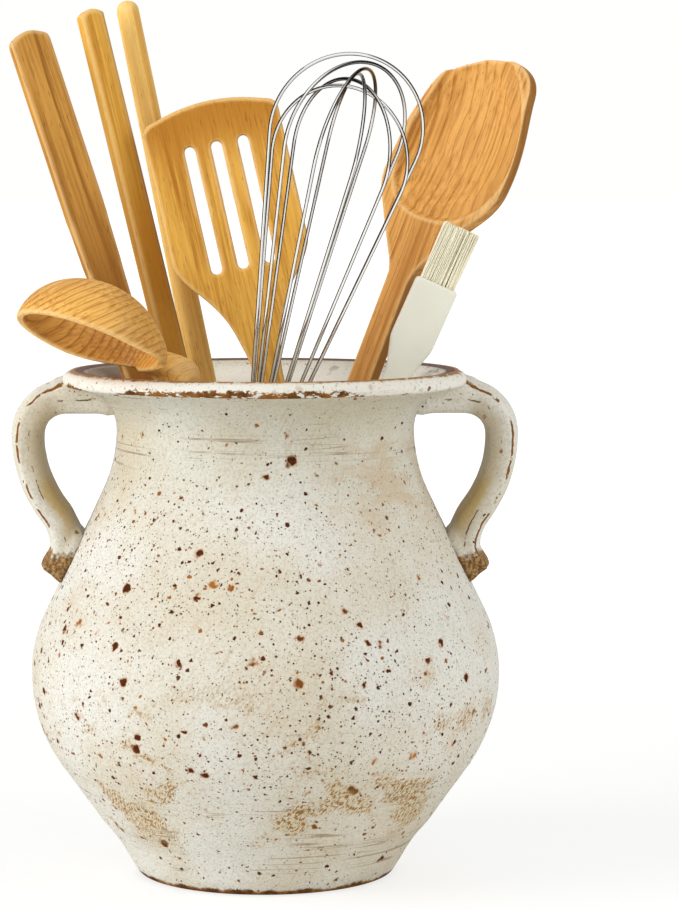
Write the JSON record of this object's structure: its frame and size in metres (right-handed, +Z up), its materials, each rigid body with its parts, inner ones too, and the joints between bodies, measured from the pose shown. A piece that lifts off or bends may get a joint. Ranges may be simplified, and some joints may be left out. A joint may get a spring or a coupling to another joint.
{
  "type": "utensil crock",
  "caption": "Round-bellied stoneware crock with a flared lip and strap handles, holding wooden spoons and turners, a ladle, a balloon whisk and a basting brush that lift out.",
  "frame": {"origin": "centre of the crock's flat foot, on its underside", "axes": "+Z up along the crock's axis; the handles lie along X; +Y points away from the viewer of the picture"},
  "size_m": [0.2235, 0.2, 0.3722],
  "materials": {
    "stoneware": "satin glaze, pale grey-cream with red-brown iron specks",
    "ladle_wood": "oiled amber wood with growth rings",
    "honey_wood": "oiled honey-coloured wood",
    "turner_wood": "oiled brown wood with fine grain",
    "spoon_wood": "oiled cherry-like wood with long grain",
    "steel": "polished",
    "plug_plastic": "matt",
    "brush_plastic": "semi-gloss warm white",
    "resin": "cast resin",
    "bristle": "cream filaments"
  },
  "bodies": {
    "crock": {"crock_body": "stoneware", "handle_left": "stoneware", "handle_right": "stoneware"},
    "ladle": {"ladle": "ladle_wood"},
    "paddle": {"paddle": "honey_wood"},
    "spatula": {"spatula": "honey_wood"},
    "spurtle": {"spurtle": "honey_wood"},
    "turner": {"turner": "turner_wood"},
    "spoon": {"spoon": "spoon_wood"},
    "whisk": {"whisk_handle": "steel", "whisk_end_cap": "steel", "whisk_plug": "plug_plastic", "whisk_wire_1": "steel", "whisk_wire_2": "steel", "whisk_wire_3": "steel", "whisk_wire_4": "steel", "whisk_wire_5": "steel", "whisk_wire_6": "steel"},
    "brush": {"brush_handle": "brush_plastic", "brush_setting": "resin", "brush_bristles": "bristle"}
  },
  "joints": [
    {"name": "ladle_lift", "type": "slide", "parent": "crock", "child": "ladle", "axis": [-0.3392, -0.0864, 0.9367], "range_m": [0, 0.24]},
    {"name": "paddle_lift", "type": "slide", "parent": "crock", "child": "paddle", "axis": [-0.3076, 0.035, 0.9509], "range_m": [0, 0.24]},
    {"name": "spatula_lift", "type": "slide", "parent": "crock", "child": "spatula", "axis": [-0.2328, 0.0313, 0.972], "range_m": [0, 0.24]},
    {"name": "spurtle_lift", "type": "slide", "parent": "crock", "child": "spurtle", "axis": [-0.1964, 0.0224, 0.9803], "range_m": [0, 0.24]},
    {"name": "turner_lift", "type": "slide", "parent": "crock", "child": "turner", "axis": [-0.2211, 0.0669, 0.9729], "range_m": [0, 0.24]},
    {"name": "spoon_lift", "type": "slide", "parent": "crock", "child": "spoon", "axis": [0.3559, 0.0531, 0.933], "range_m": [0, 0.24]},
    {"name": "whisk_lift", "type": "slide", "parent": "crock", "child": "whisk", "axis": [0.2473, -0.2124, 0.9454], "range_m": [0, 0.24]},
    {"name": "brush_lift", "type": "slide", "parent": "crock", "child": "brush", "axis": [0.4071, 0.0129, 0.9133], "range_m": [0, 0.24]}
  ]
}
